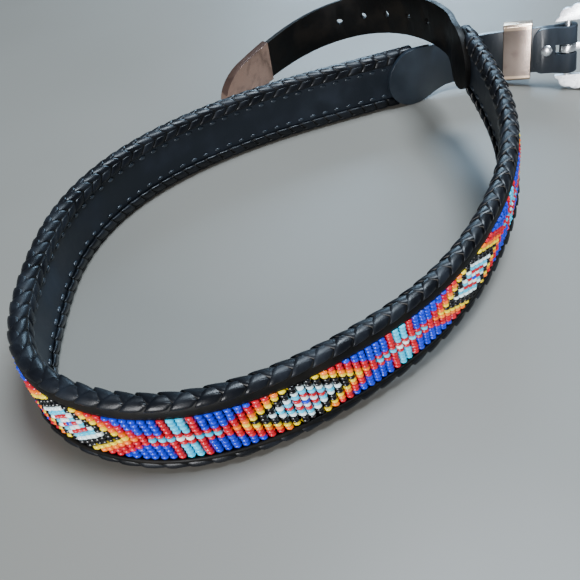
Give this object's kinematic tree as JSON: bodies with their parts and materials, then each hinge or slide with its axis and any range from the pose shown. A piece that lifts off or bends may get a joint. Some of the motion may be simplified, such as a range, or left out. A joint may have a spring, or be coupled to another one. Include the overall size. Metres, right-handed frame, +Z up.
{
  "type": "beaded belt",
  "caption": "Western leather belt standing on edge in an open loop, with a woven bead band, laced edges, a scalloped buckle, a keeper and a metal tip.",
  "frame": {"origin": "under the middle of the belt's box, on the surface that the belt stands on", "axes": "+Z up from that surface, along the strap's width; +X towards the buckle; -Y towards the front of the loop"},
  "size_m": [0.3228, 0.2974, 0.0616],
  "materials": {
    "strap_leather": "smooth black leather, satin",
    "lining_leather": "smooth black lining leather, satin to glossy",
    "lace_leather": "black leather lace, satin",
    "glass_beads": "glossy opaque glass beads, mostly blue",
    "silver_metal": "bright silver-coloured metal",
    "rose_metal": "polished rose-coloured metal"
  },
  "bodies": {
    "root": {"strap_leather": "strap_leather", "lining": "lining_leather", "bead_panel": "glass_beads", "buckle_billet": "strap_leather", "billet_stud": "silver_metal", "tail_strap": "strap_leather", "metal_tip": "rose_metal", "bottom_lacing": "lace_leather", "top_lacing": "lace_leather", "keeper": "rose_metal"},
    "buckle": {"buckle_frame": "silver_metal"},
    "prong": {"prong": "silver_metal"}
  },
  "joints": [
    {"name": "buckle_swivel", "type": "hinge", "parent": "root", "child": "buckle", "pos_m": [0.12605, 0.08649, 0.02285], "axis": [0.0569, -0.2272, -0.9722], "range_deg": [-20, 75]},
    {"name": "prong_hinge", "type": "hinge", "parent": "buckle", "child": "prong", "pos_m": [0.12605, 0.08649, 0.02285], "axis": [-0.0569, 0.2272, 0.9722], "range_deg": [0, 85]}
  ]
}
